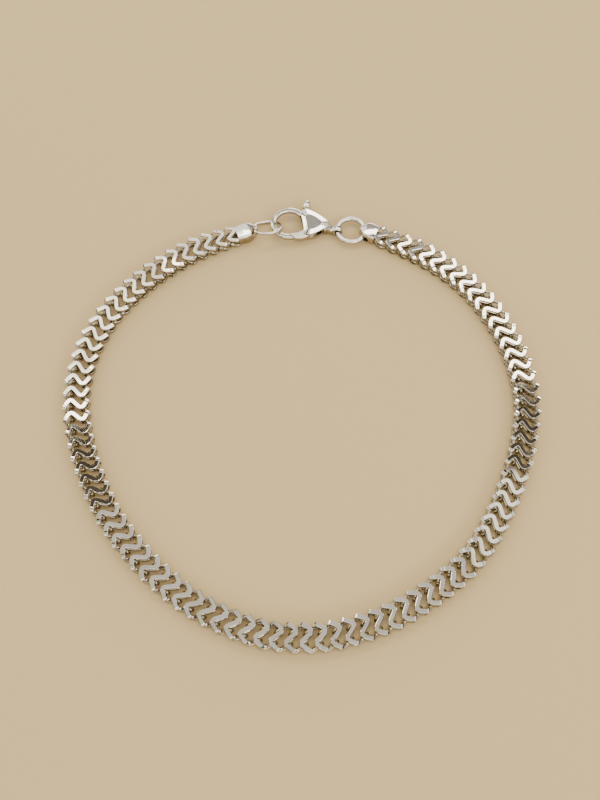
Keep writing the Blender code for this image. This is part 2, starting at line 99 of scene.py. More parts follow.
# Corners of the wire as (side, up) in mm: flat-cut strand and round hook wire
STRAND = [
    (0.212, 0.190), (-0.212, 0.190), (-0.254, 0.152), (-0.268, 0.04), (-0.235, -0.110),
    (-0.120, -0.182), (0.0, -0.190), (0.120, -0.182), (0.235, -0.110), (0.268, 0.04),
    (0.254, 0.152),
]
HOOK = [
    (0.075, 0.140), (-0.075, 0.140), (-0.150, 0.085), (-0.180, 0.0), (-0.155, -0.080),
    (-0.085, -0.132), (0.0, -0.150), (0.085, -0.132), (0.155, -0.080), (0.180, 0.0),
    (0.150, 0.085),
]
LINK_STEPS = 2
SHADE_BELOW = 1.33               # height in mm under which a link gets painted shade

# End caps
CAP_BASE = 0.08
CAP_TOP = 1.80
CAP_WIDTH = 2.50
CAP_CHAMFER = 0.34
CAP_SECTIONS = [
    (-0.07, 0.80, 0.82), (-0.05, 0.86, 0.88), (0.12, 0.95, 0.95), (0.30, 1.00, 1.00),
    (0.50, 0.96, 1.00), (0.62, 0.86, 1.00), (0.75, 0.50, 0.98), (0.86, 0.08, 0.95),
    (0.94, -0.02, 0.90), (0.985, -0.10, 0.84), (1.00, -0.18, 0.76),
]
HOLE_WALL = 0.18
RING_PLAY = 0.18

# Jump rings: middle, radius, wire, tilt and turn, and the place of the seam round the ring
LEFT_RING = (Vector((-4.799, 27.0658, 1.2601)) * MM, 1.985, 0.41, 30.7, 7.0)
RIGHT_RING = (Vector((6.9778, 26.8771, 0.845)) * MM, 1.95, 0.67, 0.0, -5.0)
LEFT_SEAM = 0.30
RIGHT_SEAM = 0.62
# How far the hole for a ring lies from the route's end, and the width of the cap's nose
LEFT_SEAT = 2.29
RIGHT_SEAT = 1.62
LEFT_NOSE = 0.92
RIGHT_NOSE = 1.10

# Clasp, in mm about the middle of its hook
CLASP_MIDDLE = Vector((-1.7217, 27.7808, 0.0)) * MM
HOOK_INNER = 1.81
HOOK_OUTER = 2.65
HOOK_BASE = 0.79
HOOK_TOP = 1.55
HOOK_START = 38.0
HOOK_END_INNER = 269.0
HOOK_END_OUTER = 283.0
BODY_MIDDLE = (3.25, -0.05)
BODY_OUTLINE = [
    (1.60, 1.50), (1.76, 2.02), (2.25, 2.28), (3.05, 2.02), (3.90, 1.52),
    (4.80, 0.80), (5.50, 0.05), (5.50, -0.45), (4.85, -1.05), (4.00, -1.62),
    (3.20, -1.92), (2.45, -2.00), (2.12, -1.84), (1.98, -0.80), (1.76, 0.60),
]
BODY_SECTIONS = [
    (0.0, 0.88), (0.06, 0.92), (0.18, 0.965), (0.40, 0.995), (0.75, 1.00), (1.20, 1.00),
    (1.55, 0.99), (1.61, 0.96),
]
TABLE_MIDDLE = (3.20, -0.72)
TABLE_SECTIONS = [(1.955, 0.63), (1.99, 0.60), (2.00, 0.57)]
SLOT_OUTLINE = [
    (0.60, -3.20), (4.55, -3.20), (4.55, -0.40), (4.25, 0.60), (4.35, 3.60),
    (2.04, 3.60), (2.04, 1.00), (0.60, 1.00),
]
SLOT_BASE = 0.68
SLOT_TOP = 1.46
PIN_RADIUS = 0.28
PIN_SINK = 0.15
PIVOT = (3.30, -0.60)
NECK_OUTLINE = [
    (4.90, -1.25), (5.40, -1.12), (5.80, -1.36), (6.17, -1.22), (6.27, -0.85),
    (6.17, -0.48), (5.80, -0.30), (5.45, -0.40), (4.95, -0.15),
]
NECK_BASE = 0.30
NECK_TOP = 1.48
NECK_CUT = 0.24
EYE = (6.73, -0.90, 0.845)
EYE_WIDTH = 0.85
EYE_BORE = 0.515
EYE_PROFILE = [
    (-0.425, 0.64), (-0.40, 0.70), (-0.34, 0.74), (-0.25, 0.755),
    (0.25, 0.755), (0.34, 0.74), (0.40, 0.70), (0.425, 0.64),
]
LEVER_BASE = 0.75
LEVER_TOP = 1.39
LEVER_PARTING = 0.15            # gap between the arm and the hook's end
HUB_RADIUS = 0.85
LEVER_BORE = 0.36
ARM_OUTLINE = [
    (1.50, -2.62), (2.40, -2.36), (3.55, -1.40), (3.10, -0.10), (1.90, -1.22), (0.95, -1.66),
]
TAB_OUTLINE = [
    (2.12, 2.80), (2.16, 1.10), (2.62, -0.30), (3.95, -0.50), (2.80, 2.80),
]
KNOB_X = 2.46
KNOB_SECTIONS = [
    (2.55, 0.62), (2.58, 0.78), (2.64, 0.93), (2.74, 1.00), (3.20, 1.00), (3.45, 0.99),
    (3.64, 0.92), (3.77, 0.78), (3.85, 0.58), (3.89, 0.32),
]
KNOB_RADIUS = 0.56

# Soft boxes: name, place and size in metres, glow, colour, and the turn in degrees of
# those that face straight down; the others face the bracelet
CREAM = (1.0, 0.94, 0.84)
GOLD = (1.0, 0.91, 0.76)
SOFT_BOXES = [
    ("left_box", (-0.50, 0.0, 0.30), (0.9, 0.44), 1.15, CREAM, None),
    ("right_box", (0.50, 0.0, 0.30), (0.9, 0.44), 1.15, CREAM, None),
    ("front_box", (0.0, -0.55, 0.30), (0.9, 0.46), 1.3, CREAM, None),
    ("back_box", (0.0, 0.60, 0.24), (0.9, 0.38), 1.3, CREAM, None),
    ("far_right", (0.0646, 0.2390, 0.40), (0.27, 0.103), 6.5, GOLD, 6.6),
    ("far_left_low", (-0.1299, 0.1792, 0.40), (0.13, 0.029), 6.5, GOLD, 6.6),
    ("far_left_high", (-0.1358, 0.2304, 0.40), (0.13, 0.074), 2.4, GOLD, 6.6),
    ("behind_left", (-0.125, 0.362, 0.40), (0.19, 0.187), 1.5, CREAM, 6.6),
    ("behind_right", (0.075, 0.385, 0.40), (0.21, 0.187), 0.35, CREAM, 6.6),
    ("top_left", (-0.04, 0.062, 0.40), (0.28, 0.132), 0.66, CREAM, 5.4),
    ("top_right", (0.14, 0.085, 0.40), (0.08, 0.12), 1.5, CREAM, 5.4),
    ("over_box", (0.0, -0.10, 0.40), (0.42, 0.18), 2.2, CREAM, 0.0),
    ("left_wing", (-0.33, 0.12, 0.40), (0.22, 0.50), 1.6, CREAM, 0.0),
    ("right_wing", (0.33, 0.12, 0.40), (0.22, 0.50), 1.6, CREAM, 0.0),
    ("back_strip", (0.11, 0.50, 0.10), (0.26, 0.11), 4.5, CREAM, None),
    ("left_strip", (-0.44, 0.28, 0.10), (0.24, 0.11), 4.5, CREAM, None),
    ("front_strip", (0.24, -0.27, 0.27), (0.38, 0.12), 4.5, CREAM, None),
]
FLOOR_REACH = 2.0
CAMERA_ELEVATION = 65.5
CAMERA_DISTANCE = 0.1239
CAMERA_SENSOR = 36.0
CAMERA_LENS = 42.75


# Finishes

def group_socket(tree, name, kind, way="INPUT", value=None):
    """Add a named socket to a node group."""
    socket = tree.interface.new_socket(name=name, in_out=way, socket_type=kind)
    if value is not None:
        socket.default_value = value
    return socket


def polished_surface():
    """Build the group for polished silver: cloudy tone, fine rubbing marks and painted shade,
    darker and rougher where the mask says so.
    """
    tree = bpy.data.node_groups.new("polished_surface", "ShaderNodeTree")
    group_socket(tree, "Bright tint", "NodeSocketColor")
    group_socket(tree, "Cloud and shade tint", "NodeSocketColor")
    group_socket(tree, "Painted shade", "NodeSocketFloat", value=0.0)
    group_socket(tree, "Roughness", "NodeSocketFloat", value=0.1)
    group_socket(tree, "Rub scale", "NodeSocketFloat", value=2000.0)
    group_socket(tree, "Color", "NodeSocketColor", "OUTPUT")
    group_socket(tree, "Roughness", "NodeSocketFloat", "OUTPUT")
    group_socket(tree, "Height", "NodeSocketFloat", "OUTPUT")
    nodes, links = tree.nodes, tree.links
    given = nodes.new("NodeGroupInput")
    result = nodes.new("NodeGroupOutput")
    place = nodes.new("ShaderNodeTexCoord")

    clouds = nodes.new("ShaderNodeTexNoise")
    clouds.inputs["Scale"].default_value = 450.0
    clouds.inputs["Detail"].default_value = 3.0
    links.new(place.outputs["Object"], clouds.inputs["Vector"])

    stretch = nodes.new("ShaderNodeMapping")
    stretch.inputs["Rotation"].default_value = (0.0, 0.0, 0.6)
    stretch.inputs["Scale"].default_value = (1.0, 4.0, 2.0)
    links.new(place.outputs["Object"], stretch.inputs["Vector"])
    rubs = nodes.new("ShaderNodeTexNoise")
    rubs.inputs["Detail"].default_value = 2.0
    links.new(stretch.outputs["Vector"], rubs.inputs["Vector"])
    links.new(given.outputs["Rub scale"], rubs.inputs["Scale"])

    cloudy = nodes.new("ShaderNodeMapRange")
    cloudy.inputs["From Min"].default_value = 0.42
    cloudy.inputs["From Max"].default_value = 0.70
    links.new(clouds.outputs["Fac"], cloudy.inputs["Value"])
    # Random cloudy dulling plus painted shade from the mask
    cloud_and_shade = nodes.new("ShaderNodeMath")
    cloud_and_shade.operation = "MULTIPLY_ADD"
    cloud_and_shade.inputs[1].default_value = 0.25
    cloud_and_shade.use_clamp = True
    links.new(cloudy.outputs["Result"], cloud_and_shade.inputs[0])
    links.new(given.outputs["Painted shade"], cloud_and_shade.inputs[2])

    tone = nodes.new("ShaderNodeMix")
    tone.data_type = "RGBA"
    links.new(cloud_and_shade.outputs["Value"], tone.inputs["Factor"])
    links.new(given.outputs["Bright tint"], tone.inputs["A"])
    links.new(given.outputs["Cloud and shade tint"], tone.inputs["B"])
    links.new(tone.outputs["Result"], result.inputs["Color"])

    rough = nodes.new("ShaderNodeMath")
    rough.operation = "MULTIPLY_ADD"
    rough.inputs[1].default_value = 0.015
    links.new(rubs.outputs["Fac"], rough.inputs[0])
    links.new(given.outputs["Roughness"], rough.inputs[2])
    rougher = nodes.new("ShaderNodeMath")
    rougher.operation = "MULTIPLY_ADD"
    rougher.inputs[1].default_value = 0.06
    links.new(cloud_and_shade.outputs["Value"], rougher.inputs[0])
    links.new(rough.outputs["Value"], rougher.inputs[2])
    links.new(rougher.outputs["Value"], result.inputs["Roughness"])
    links.new(rubs.outputs["Fac"], result.inputs["Height"])
    return tree


def silver(name, surface, bright, roughness):
    """Make a silver finish with painted shade: darker and rougher where the mask says so."""
    material = bpy.data.materials.new(name)
    material.use_nodes = True
    nodes, links = material.node_tree.nodes, material.node_tree.links
    shader = nodes["Principled BSDF"]
    shader.inputs["Metallic"].default_value = 1.0
    finish = nodes.new("ShaderNodeGroup")
    finish.node_tree = surface
    finish.inputs["Bright tint"].default_value = (*bright, 1.0)
    finish.inputs["Cloud and shade tint"].default_value = (*CLOUD_AND_SHADE_TINT, 1.0)
    finish.inputs["Roughness"].default_value = roughness
    # Painted shade: the mask that darkens and roughens low, sideways and downward parts
    shade_mask = nodes.new("ShaderNodeAttribute")
    shade_mask.attribute_name = PAINTED_SHADE
    links.new(shade_mask.outputs["Fac"], finish.inputs["Painted shade"])
    bump = nodes.new("ShaderNodeBump")
    bump.inputs["Strength"].default_value = 0.006
    bump.inputs["Distance"].default_value = 0.00001
    links.new(finish.outputs["Height"], bump.inputs["Height"])
    links.new(bump.outputs["Normal"], shader.inputs["Normal"])
    links.new(finish.outputs["Color"], shader.inputs["Base Color"])
    links.new(finish.outputs["Roughness"], shader.inputs["Roughness"])
    return material


# Mesh work

def loft(bm, rings, closed=False):
    """Skin equal rings of points; the ends are capped unless closed."""
    skins = [[bm.verts.new(point) for point in ring] for ring in rings]
    count = len(skins)
    for i in range(count if closed else count - 1):
        here, there = skins[i], skins[(i + 1) % count]
        for j in range(len(here)):
            k = (j + 1) % len(here)
            bm.faces.new((here[j], here[k], there[k], there[j]))
    if not closed:
        bm.faces.new(skins[0])
        bm.faces.new(skins[-1])
    return skins


def finished(name, bm, material, sharp=32.0):
    """Turn a bmesh into an object with its faces outward and crisp edges kept."""
    bmesh.ops.recalc_face_normals(bm, faces=bm.faces)
    mesh = bpy.data.meshes.new(name)
    bm.to_mesh(mesh)
    bm.free()
    mesh.materials.append(material)
    mesh.shade_smooth()
    mesh.set_sharp_from_angle(angle=math.radians(sharp))
    piece = bpy.data.objects.new(name, mesh)
    bpy.context.collection.objects.link(piece)
    return piece


def smooth_loop(points, steps, size):
    """Round off a closed run of rows: size places curve, what follows them blends."""
    count = len(points)
    spots = [Vector(row[:size]).to_3d() for row in points]
    ways = [((spots[i] - spots[i - 1]).normalized()
             + (spots[(i + 1) % count] - spots[i]).normalized()).normalized()
            for i in range(count)]
    result = []
    for i in range(count):
        j = (i + 1) % count
        span = (spots[j] - spots[i]).length
        for step in range(steps):
            t = step / steps
            spot = ((2.0 * t ** 3 - 3.0 * t * t + 1.0) * spots[i]
                    + (t ** 3 - 2.0 * t * t + t) * span * ways[i]
                    + (3.0 * t * t - 2.0 * t ** 3) * spots[j]
                    + (t ** 3 - t * t) * span * ways[j])
            rest = [a + (b - a) * t for a, b in zip(points[i][size:], points[j][size:])]
            result.append(list(spot)[:size] + rest)
    return result


def crisp_rims(mesh, height, angle):
    """Keep the level edges above a height crisp, so that a bevel reads as a flat band."""
    bm = bmesh.new()
    bm.from_mesh(mesh)
    for edge in bm.edges:
        level = max(v.co.z for v in edge.verts) - min(v.co.z for v in edge.verts) < 1e-7
        if level and edge.verts[0].co.z > height and edge.calc_face_angle(0.0) > angle:
            edge.smooth = False
    bm.to_mesh(mesh)
    bm.free()


def combine(name, base, changes, material, sharp=32.0):
    """Join or cut solids exactly, and keep the result as one plain mesh."""
    for other, operation in changes:
        modifier = base.modifiers.new(other.name, "BOOLEAN")
        modifier.object = other
        modifier.operation = operation
        modifier.solver = "EXACT"
    graph = bpy.context.evaluated_depsgraph_get()
    mesh = bpy.data.meshes.new_from_object(base.evaluated_get(graph))
    for old in [base] + [other for other, operation in changes]:
        bpy.data.objects.remove(old)
    mesh.name = name
    mesh.materials.clear()
    mesh.materials.append(material)
    mesh.shade_smooth()
    mesh.set_sharp_from_angle(angle=math.radians(sharp))
    piece = bpy.data.objects.new(name, mesh)
    bpy.context.collection.objects.link(piece)
    return piece


def mark_painted_shade(piece, shade_depth):
    """Mark where the metal faces sideways or down, for painted shade: darker and rougher there.
    """
    shade_mask = piece.data.attributes.new(PAINTED_SHADE, "FLOAT", "POINT")
    for spot, vertex in zip(shade_mask.data, piece.data.vertices):
        spot.value = shade_depth * min(max((0.6 - vertex.normal.z) / 0.5, 0.0), 1.0)


def settle(piece, matrix):
    """Put a piece's place into its mesh."""
    piece.data.transform(matrix)
    piece.data.update()
    return piece


# Chain

def route_line():
    """Read a smooth line through the route's points, as points and lengths."""
    points = [Vector((x * MM, y * MM, 0.0)) + LOOP_MIDDLE for x, y in ROUTE]
    ends = [2.0 * points[0] - points[1]] + points + [2.0 * points[-1] - points[-2]]
    line = [points[0]]
    for i in range(1, len(ends) - 2):
        p0, p1, p2, p3 = ends[i - 1:i + 3]
        for step in range(1, ROUTE_STEPS + 1):
            t = step / ROUTE_STEPS
            line.append(0.5 * (2.0 * p1 + (p2 - p0) * t
                               + (2.0 * p0 - 5.0 * p1 + 4.0 * p2 - p3) * t * t
                               + (3.0 * p1 - p0 - 3.0 * p2 + p3) * t ** 3))
    lengths = [0.0]
    for a, b in zip(line, line[1:]):
        lengths.append(lengths[-1] + (b - a).length)
    return line, lengths


def place_at(line, lengths, distance):
    """Return the point at a distance along the route."""
    i = 1
    while i < len(lengths) - 1 and lengths[i] < distance:
        i += 1
    share = (distance - lengths[i - 1]) / (lengths[i] - lengths[i - 1])
    return line[i - 1].lerp(line[i], share)


def link_piece(material):
    """Make one link: a closed loop of wire, flat-cut on top and round in its hooks."""
    rows = [[x, -y, z, thin, fx, -fy, fz] for x, y, z, thin, (fx, fy, fz) in LINK_HALF]
    rows += [[-x, -y, z, thin, -fx, -fy, fz]
             for x, y, z, thin, fx, fy, fz in reversed([list(row) for row in rows])]
    path = smooth_loop(rows, LINK_STEPS, 3)
    count = len(path)
    rings = []
    for i, (x, y, z, thin, *facing) in enumerate(path):
        before, after = path[i - 1], path[(i + 1) % count]
        tangent = (Vector(after[:3]) - Vector(before[:3])).normalized()
        facing = Vector(facing)
        up = (facing - facing.dot(tangent) * tangent).normalized()
        side = tangent.cross(up)
        thin = min(max(thin, 0.0), 1.0)
        ring = []
        for (a, b), (c, d) in zip(STRAND, HOOK):
            offset = (a + (c - a) * thin) * side + (b + (d - b) * thin) * up
            ring.append((Vector((x, y, z)) + offset) * MM)
        rings.append(ring)
    bm = bmesh.new()
    # Painted shade: darkens the lower wires under the top strands and the hook wires
    shade_layer = bm.verts.layers.float.new(PAINTED_SHADE)
    skins = loft(bm, rings, closed=True)
    for skin, row in zip(skins, path):
        for vert in skin:
            shade_depth = max((SHADE_BELOW - vert.co.z / MM) / 0.4, 0.9 * row[3])
            vert[shade_layer] = min(max(shade_depth, 0.0), 1.0) * 0.95
    return finished("link", bm, material, sharp=26.0)


def link_tree():
    """Build the tree that lays links along a route."""
    tree = bpy.data.node_groups.new("links_along_route", "GeometryNodeTree")
    for name, kind in (("Geometry", "Geometry"), ("Link", "Object"), ("Links", "Int"),
                       ("First end", "Float"), ("Last end", "Float"), ("Taper links", "Float"),
                       ("Sway", "Float"), ("Jitter", "Float"), ("Seed", "Int"),
                       ("Finish", "Material")):
        group_socket(tree, name, "NodeSocket" + kind)
    group_socket(tree, "Geometry", "NodeSocketGeometry", "OUTPUT")
    nodes, links = tree.nodes, tree.links
    given = nodes.new("NodeGroupInput")
    result = nodes.new("NodeGroupOutput")

    def calculate(operation, a, b=None, c=None, clamp=False):
        node = nodes.new("ShaderNodeMath")
        node.operation = operation
        node.use_clamp = clamp
        for socket, value in zip(node.inputs, (a, b, c)):
            if isinstance(value, (int, float)):
                socket.default_value = value
            elif value is not None:
                links.new(value, socket)
        return node.outputs["Value"]

    def chance(seed):
        node = nodes.new("FunctionNodeRandomValue")
        node.data_type = "FLOAT"
        node.inputs["Min"].default_value = -1.0
        node.inputs["Max"].default_value = 1.0
        links.new(seed, node.inputs["Seed"])
        return node.outputs["Value"]

    points = nodes.new("GeometryNodePoints")
    links.new(given.outputs["Links"], points.inputs["Count"])
    index = nodes.new("GeometryNodeInputIndex").outputs["Index"]
    middle = calculate("ADD", index, 0.5)
    factor = calculate("DIVIDE", middle, given.outputs["Links"])
    sample = nodes.new("GeometryNodeSampleCurve")
    sample.mode = "FACTOR"
    sample.use_all_curves = False
    links.new(given.outputs["Geometry"], sample.inputs["Curves"])
    links.new(factor, sample.inputs["Factor"])
    links.new(sample.outputs["Position"], points.inputs["Position"])

    along = nodes.new("FunctionNodeAlignRotationToVector")
    along.axis = "X"
    along.pivot_axis = "Z"
    links.new(sample.outputs["Tangent"], along.inputs["Vector"])

    drift = nodes.new("ShaderNodeTexNoise")
    drift.inputs["Scale"].default_value = 90.0
    drift.inputs["Detail"].default_value = 1.0
    links.new(sample.outputs["Position"], drift.inputs["Vector"])
    swing = calculate("SUBTRACT", drift.outputs["Fac"], 0.5)
    swing = calculate("MULTIPLY", swing, given.outputs["Sway"])
    lean = chance(given.outputs["Seed"])
    nod = chance(calculate("ADD", given.outputs["Seed"], 1))
    roll = calculate("MULTIPLY_ADD", lean, given.outputs["Jitter"], swing)
    pitch = calculate("MULTIPLY", nod, given.outputs["Jitter"])
    tilt = nodes.new("ShaderNodeCombineXYZ")
    links.new(roll, tilt.inputs["X"])
    links.new(pitch, tilt.inputs["Y"])
    turn = nodes.new("FunctionNodeEulerToRotation")
    links.new(tilt.outputs["Vector"], turn.inputs["Euler"])
    rotate = nodes.new("FunctionNodeRotateRotation")
    rotate.rotation_space = "LOCAL"
    links.new(along.outputs["Rotation"], rotate.inputs["Rotation"])
    links.new(turn.outputs["Rotation"], rotate.inputs["Rotate By"])

    to_first = calculate("DIVIDE", index, given.outputs["Taper links"], clamp=True)
    back = calculate("SUBTRACT", given.outputs["Links"], index)
    to_last = calculate("DIVIDE", calculate("SUBTRACT", back, 1.0),
                        given.outputs["Taper links"], clamp=True)
    first_size = nodes.new("ShaderNodeMapRange")
    links.new(to_first, first_size.inputs["Value"])
    links.new(given.outputs["First end"], first_size.inputs["To Min"])
    last_size = nodes.new("ShaderNodeMapRange")
    links.new(to_last, last_size.inputs["Value"])
    links.new(given.outputs["Last end"], last_size.inputs["To Min"])
    width = calculate("MULTIPLY", first_size.outputs["Result"], last_size.outputs["Result"])
    size = nodes.new("ShaderNodeCombineXYZ")
    size.inputs["X"].default_value = 1.0
    size.inputs["Z"].default_value = 1.0
    links.new(width, size.inputs["Y"])

    link = nodes.new("GeometryNodeObjectInfo")
    links.new(given.outputs["Link"], link.inputs["Object"])
    lay = nodes.new("GeometryNodeInstanceOnPoints")
    links.new(points.outputs["Points"], lay.inputs["Points"])
    links.new(link.outputs["Geometry"], lay.inputs["Instance"])
    links.new(rotate.outputs["Rotation"], lay.inputs["Rotation"])
    links.new(size.outputs["Vector"], lay.inputs["Scale"])
    real = nodes.new("GeometryNodeRealizeInstances")
    links.new(lay.outputs["Instances"], real.inputs["Geometry"])
    paint = nodes.new("GeometryNodeSetMaterial")
    links.new(real.outputs["Geometry"], paint.inputs["Geometry"])
    links.new(given.outputs["Finish"], paint.inputs["Material"])
    links.new(paint.outputs["Geometry"], result.inputs["Geometry"])
    return tree


def ring_tree():
    """Build the tree that bends a jump ring from round wire, with its soldered seam."""
    tree = bpy.data.node_groups.new("bent_ring", "GeometryNodeTree")
    for name, kind in (("Geometry", "Geometry"), ("Radius", "Float"), ("Wire", "Float"),
                       ("Seam", "Float"), ("Turn", "Rotation"), ("Middle", "Vector"),
                       ("Finish", "Material")):
        group_socket(tree, name, "NodeSocket" + kind)
    group_socket(tree, "Geometry", "NodeSocketGeometry", "OUTPUT")
    nodes, links = tree.nodes, tree.links
    given = nodes.new("NodeGroupInput")
    result = nodes.new("NodeGroupOutput")
    circle = nodes.new("GeometryNodeCurvePrimitiveCircle")
    circle.inputs["Resolution"].default_value = 160
    links.new(given.outputs["Radius"], circle.inputs["Radius"])
    wire = nodes.new("GeometryNodeCurvePrimitiveCircle")
    wire.inputs["Resolution"].default_value = 24
    half = nodes.new("ShaderNodeMath")
    half.operation = "DIVIDE"
    half.inputs[1].default_value = 2.0
    links.new(given.outputs["Wire"], half.inputs[0])
    links.new(half.outputs["Value"], wire.inputs["Radius"])
    along = nodes.new("GeometryNodeSplineParameter")
    away = nodes.new("ShaderNodeMath")
    away.operation = "SUBTRACT"
    links.new(along.outputs["Factor"], away.inputs[0])
    links.new(given.outputs["Seam"], away.inputs[1])
    distance = nodes.new("ShaderNodeMath")
    distance.operation = "ABSOLUTE"
    links.new(away.outputs["Value"], distance.inputs[0])
    groove = nodes.new("ShaderNodeMapRange")
    groove.inputs["From Max"].default_value = 0.006
    groove.inputs["To Min"].default_value = 0.955
    links.new(distance.outputs["Value"], groove.inputs["Value"])
    bend = nodes.new("GeometryNodeCurveToMesh")
    links.new(circle.outputs["Curve"], bend.inputs["Curve"])
    links.new(wire.outputs["Curve"], bend.inputs["Profile Curve"])
    links.new(groove.outputs["Result"], bend.inputs["Scale"])
    smooth = nodes.new("GeometryNodeSetShadeSmooth")
    links.new(bend.outputs["Mesh"], smooth.inputs["Geometry"])
    place = nodes.new("GeometryNodeTransform")
    links.new(smooth.outputs["Geometry"], place.inputs["Geometry"])
    links.new(given.outputs["Middle"], place.inputs["Translation"])
    links.new(given.outputs["Turn"], place.inputs["Rotation"])
    real = nodes.new("GeometryNodeRealizeInstances")
    links.new(place.outputs["Geometry"], real.inputs["Geometry"])
    paint = nodes.new("GeometryNodeSetMaterial")
    links.new(real.outputs["Geometry"], paint.inputs["Geometry"])
    links.new(given.outputs["Finish"], paint.inputs["Material"])
    links.new(paint.outputs["Geometry"], result.inputs["Geometry"])
    return tree


def grow(name, tree, source, values):
    """Run a tree on an object and keep the result as a plain mesh."""
    modifier = source.modifiers.new(tree.name, "NODES")
    modifier.node_group = tree
    for socket in tree.interface.items_tree:
        if socket.item_type == "SOCKET" and socket.in_out == "INPUT" and socket.name in values:
            modifier[socket.identifier] = values[socket.name]
    graph = bpy.context.evaluated_depsgraph_get()
    mesh = bpy.data.meshes.new_from_object(source.evaluated_get(graph))
    bpy.data.objects.remove(source)
    mesh.name = name
    bm = bmesh.new()
    bm.from_mesh(mesh)
    bmesh.ops.recalc_face_normals(bm, faces=bm.faces)
    bm.to_mesh(mesh)
    bm.free()
    piece = bpy.data.objects.new(name, mesh)
    bpy.context.collection.objects.link(piece)
    return piece


def route_object(name, line, lengths, start, end):
    """Make an open line along part of the route."""
    inner = [point for point, far in zip(line, lengths) if start < far < end]
    points = [place_at(line, lengths, start)] + inner + [place_at(line, lengths, end)]
    curve = bpy.data.curves.new(name, "CURVE")
    curve.dimensions = "3D"
    spline = curve.splines.new("POLY")
    spline.points.add(len(points) - 1)
    for place, point in zip(spline.points, points):
        place.co = (*point, 1.0)
    route = bpy.data.objects.new(name, curve)
    bpy.context.collection.objects.link(route)
    return route


def empty_source(name):
    """Make the empty mesh object that a tree grows from."""
    source = bpy.data.objects.new(name, bpy.data.meshes.new(name))
    bpy.context.collection.objects.link(source)
    return source


# Caps

def rod(name, start, end, radius, sides, material):
    """Make a closed cylinder between two points."""
    axis = (end - start).normalized()
    side = axis.orthogonal().normalized()
    other = axis.cross(side)
    rings = [[point + radius * (math.cos(a) * side + math.sin(a) * other)
              for a in (2.0 * math.pi * i / sides for i in range(sides))]
             for point in (start, end)]
    bm = bmesh.new()
    loft(bm, rings)
    return finished(name, bm, material)


def rounded_section(half_width, half_height, cut):
    """Return a section with rounded corners, as side and up."""
    points = []
    for sx, sy, start in ((1, 1, 0), (-1, 1, 90), (-1, -1, 180), (1, -1, 270)):
        for step in range(5):
            angle = math.radians(start + 22.5 * step)
            points.append((sx * (half_width - cut) + cut * math.cos(angle),
                           sy * (half_height - cut) + cut * math.sin(angle)))
    return points


def end_cap(name, matrix, sense, seat, nose, wire, turn, height, material):
    """Make one end cap with its hole for the jump ring."""
    hole = wire + 2.0 * RING_PLAY
    reach = seat + hole / 2.0 + HOLE_WALL
    middle = (CAP_BASE + CAP_TOP) / 2.0
    tall = (CAP_TOP - CAP_BASE) / 2.0
    rings = []
    for along, share, high in CAP_SECTIONS:
        width = (nose + (CAP_WIDTH - nose) * share) / 2.0
        cut = min(CAP_CHAMFER * high, width * 0.85)
        rings.append([matrix @ (Vector((sense * along * reach, v, middle + z)) * MM)
                      for v, z in rounded_section(width, tall * high, cut)])
    bm = bmesh.new()
    loft(bm, rings)
    body = finished(name, bm, material)
    centre = matrix @ (Vector((sense * seat, 0.0, height)) * MM)
    drill = rod(name + "_drill", centre - 3.0 * MM * turn.col[1], centre + 3.0 * MM * turn.col[1],
                hole / 2.0 * MM, 48, material)
    return combine(name, body, [(drill, "DIFFERENCE")], material)


# Clasp

def prism(name, outline, base, top, cut, material):
    """Make a plate from a plan outline, its top and bottom edges rounded off."""
    middle = [sum(c) / len(outline) for c in zip(*outline)]
    rings = []
    for z, inset in ((base, cut), (base + 0.4 * cut, 0.4 * cut), (base + cut, 0.0),
                     (top - cut, 0.0), (top - 0.4 * cut, 0.4 * cut), (top, cut)):
        ring = []
        for x, y in outline:
            away = math.hypot(x - middle[0], y - middle[1])
            share = 1.0 - inset / away
            ring.append(Vector((middle[0] + share * (x - middle[0]),
                                middle[1] + share * (y - middle[1]), z)) * MM)
        rings.append(ring)
    bm = bmesh.new()
    loft(bm, rings)
    return finished(name, bm, material)


def clasp_hook(material):
    """Make the clasp's fixed hook with its slanted end."""
    middle = (HOOK_INNER + HOOK_OUTER) / 2.0
    height = (HOOK_BASE + HOOK_TOP) / 2.0
    section = rounded_section((HOOK_OUTER - HOOK_INNER) / 2.0, (HOOK_TOP - HOOK_BASE) / 2.0, 0.36)
    rings = []
    steps = 96
    for i in range(steps + 1):
        share = i / steps
        ring = []
        for side, up in section:
            far = middle + side
            slant = (far - HOOK_INNER) / (HOOK_OUTER - HOOK_INNER)
            end = HOOK_END_INNER + slant * (HOOK_END_OUTER - HOOK_END_INNER)
            angle = math.radians(HOOK_START + share * (end - HOOK_START))
            ring.append(Vector((far * math.cos(angle), far * math.sin(angle), height + up)) * MM)
        rings.append(ring)
    bm = bmesh.new()
    loft(bm, rings)
    return finished("clasp_hook", bm, material)


